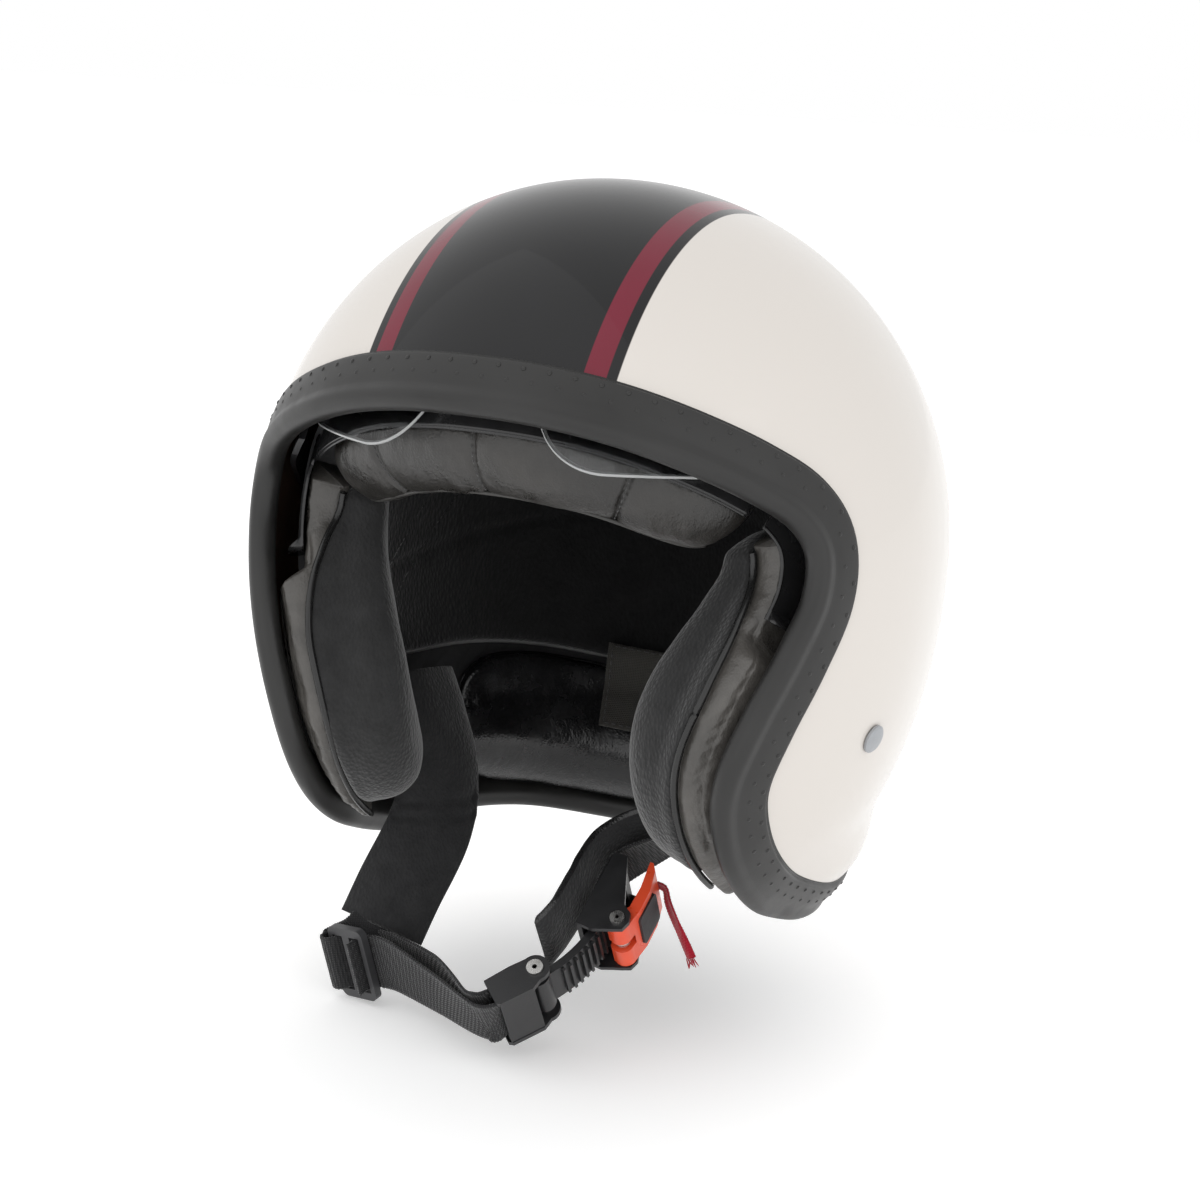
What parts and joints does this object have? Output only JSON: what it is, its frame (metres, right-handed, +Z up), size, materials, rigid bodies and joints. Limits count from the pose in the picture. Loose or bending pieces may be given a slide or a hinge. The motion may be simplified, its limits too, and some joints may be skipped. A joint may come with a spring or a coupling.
{
  "type": "open face motorcycle helmet",
  "caption": "Open face motorcycle helmet with padded liner, drop-down inner sun visor and a chin strap closed by a ratchet buckle with a release lever.",
  "frame": {"origin": "middle of the head space, on the visor's pivot axis", "axes": "+Z up, -Y forward out of the face opening, +X the wearer's left"},
  "size_m": [0.2458, 0.2585, 0.3091],
  "materials": {
    "shell_paint": "high gloss cream lacquer with a black centre band and two crimson pinstripes",
    "trim_rubber": "satin",
    "foam": "matte expanded foam",
    "liner_fabric": "brushed knit",
    "leatherette": "grained, semi-gloss",
    "pad_fabric": "fine knit",
    "piping": "glossy cord",
    "strip_plastic": "gloss",
    "pivot_plastic": "matte",
    "visor_clear": "clear light smoke, polished",
    "visor_arm_plastic": "satin",
    "rivet_metal": "satin grey cap",
    "anchor_steel": "plated",
    "label_fabric": "satin, no print",
    "sleeve_fabric": "knit sleeve, leatherette backed",
    "webbing": "ribbed webbing",
    "slider_plastic": "satin",
    "buckle_plastic": "satin",
    "pin_steel": "polished rim",
    "lever_paint": "orange-red, semi-gloss",
    "grip_rubber": "matte",
    "ribbon_red": "woven"
  },
  "bodies": {
    "helmet": {"outer_shell": "shell_paint", "edge_trim": "trim_rubber", "foam_liner": "foam", "crown_liner": "liner_fabric", "neck_roll": "liner_fabric", "brow_pad": "leatherette", "brow_strip": "strip_plastic", "cheek_pad_left": "pad_fabric", "cheek_pad_right": "pad_fabric", "cheek_panel_left": "leatherette", "cheek_panel_right": "leatherette", "cheek_piping_left": "piping", "cheek_piping_right": "piping", "pocket_edge_left": "strip_plastic", "pocket_edge_right": "strip_plastic", "visor_pivot_left": "pivot_plastic", "visor_pivot_right": "pivot_plastic", "strap_rivet_left": "rivet_metal", "strap_rivet_right": "rivet_metal", "strap_anchor_left": "anchor_steel", "strap_anchor_right": "anchor_steel", "blank_label": "label_fabric"},
    "visor": {"sun_visor": "visor_clear", "visor_arm_left": "visor_arm_plastic", "visor_arm_right": "visor_arm_plastic"},
    "chin_strap": {"strap_sleeve_left": "sleeve_fabric", "strap_sleeve_right": "sleeve_fabric", "buckle_webbing": "webbing", "webbing_end": "webbing", "strap_webbing": "webbing", "buckle_frame": "buckle_plastic", "buckle_pin": "pin_steel", "lever_spring": "pin_steel"},
    "slider": {"strap_slider": "slider_plastic"},
    "tongue": {"ratchet_tongue": "buckle_plastic", "webbing_bracket": "buckle_plastic", "bracket_pin": "pin_steel"},
    "lever": {"release_lever": "lever_paint", "lever_grip": "grip_rubber", "pull_ribbon": "ribbon_red"}
  },
  "joints": [
    {"name": "visor_drop", "type": "hinge", "parent": "helmet", "child": "visor", "pos_m": [0, 0, 0], "axis": [1, 0, 0], "range_deg": [0, 34]},
    {"name": "strap_swing", "type": "hinge", "parent": "helmet", "child": "chin_strap", "pos_m": [0, -0.014, -0.062], "axis": [1, 0, 0], "range_deg": [-14, 14], "deforming": ["strap_sleeve_left", "strap_sleeve_right", "buckle_webbing"]},
    {"name": "slider_adjust", "type": "slide", "parent": "chin_strap", "child": "slider", "axis": [0.9617, -0.2399, 0.1328], "range_m": [0, 0.014], "deforming": ["webbing_end", "strap_webbing"]},
    {"name": "tongue_slide", "type": "hinge", "parent": "chin_strap", "child": "tongue", "pos_m": [-0.02653, -0.02438, -0.13201], "axis": [0.0904, -0.6024, 0.7931], "range_deg": [-24, 3.5], "deforming": ["strap_webbing"]},
    {"name": "lever_release", "type": "hinge", "parent": "chin_strap", "child": "lever", "pos_m": [0.02909, -0.02458, -0.1385], "axis": [-0.0904, 0.6024, -0.7931], "range_deg": [0, 50], "stiffness_Nm_per_rad": 0.03, "springref_deg": -8.59, "deforming": ["pull_ribbon"]}
  ]
}
